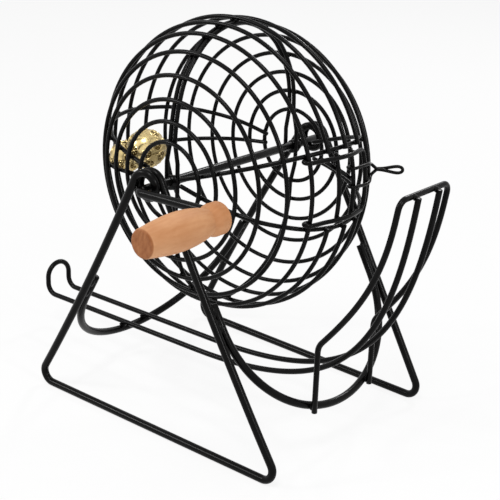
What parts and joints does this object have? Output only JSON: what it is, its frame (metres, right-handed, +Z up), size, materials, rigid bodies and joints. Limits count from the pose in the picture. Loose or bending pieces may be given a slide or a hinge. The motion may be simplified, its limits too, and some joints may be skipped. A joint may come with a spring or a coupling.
{
  "type": "bingo cage",
  "caption": "Hand-cranked wire ball cage on two bent-wire A-frames, with a latched gate, a wooden crank grip and a wire ball tray that runs back under the cage.",
  "frame": {"origin": "on the floor, under the middle of the axle, half way between the two A-frames", "axes": "+X towards the ball tray, +Y along the axle away from the crank, +Z up"},
  "size_m": [0.3501, 0.262, 0.2794],
  "materials": {
    "black_frame": "satin black powder coat",
    "black_cage": "satin black powder coat",
    "beech_wood": "turned, lightly sealed",
    "brass": "polished"
  },
  "bodies": {
    "stand": {"near_a_frame": "black_frame", "far_a_frame": "black_frame", "front_spreader": "black_frame", "rear_spreader": "black_frame", "ball_rails": "black_frame", "tray_frame": "black_frame"},
    "cage": {"crank_axle": "black_cage", "ring_01": "black_cage", "ring_02": "black_cage", "ring_03": "black_cage", "ring_04": "black_cage", "ring_05": "black_cage", "ring_06": "black_cage", "ring_07": "black_cage", "ring_08": "black_cage", "ring_09": "black_cage", "ring_10": "black_cage", "ring_11": "black_cage", "ring_12": "black_cage", "ring_13": "black_cage", "ring_14": "black_cage", "ring_15": "black_cage", "vertical_loop": "black_cage", "top_rib": "black_cage", "gate_top_rib": "black_cage", "gate_bottom_rib": "black_cage", "back_upper_rib": "black_cage", "back_lower_rib": "black_cage", "brass_bell_large": "brass", "brass_bell_small": "brass"},
    "gate": {"gate_frame": "black_cage", "gate_bar_1": "black_cage", "gate_bar_2": "black_cage", "gate_brace": "black_cage"},
    "latch": {"latch_wire": "black_cage"},
    "grip": {"wooden_grip": "beech_wood"}
  },
  "joints": [
    {"name": "cage_turn", "type": "hinge", "parent": "stand", "child": "cage", "pos_m": [0, 0, 0.1768], "axis": [0, 1, 0], "continuous": true},
    {"name": "grip_spin", "type": "hinge", "parent": "cage", "child": "grip", "pos_m": [0.07447, -0.134, 0.17901], "axis": [0, 1, 0], "continuous": true},
    {"name": "gate_swing", "type": "hinge", "parent": "cage", "child": "gate", "pos_m": [0.09037, -0.0347, 0.18249], "axis": [0.0628, 0, -0.998], "range_deg": [0, 25]},
    {"name": "latch_lift", "type": "hinge", "parent": "gate", "child": "latch", "pos_m": [0.09704, 0.0024, 0.18711], "axis": [0.1057, 0, -0.9944], "range_deg": [0, 25], "stiffness_Nm_per_rad": 0.01}
  ]
}
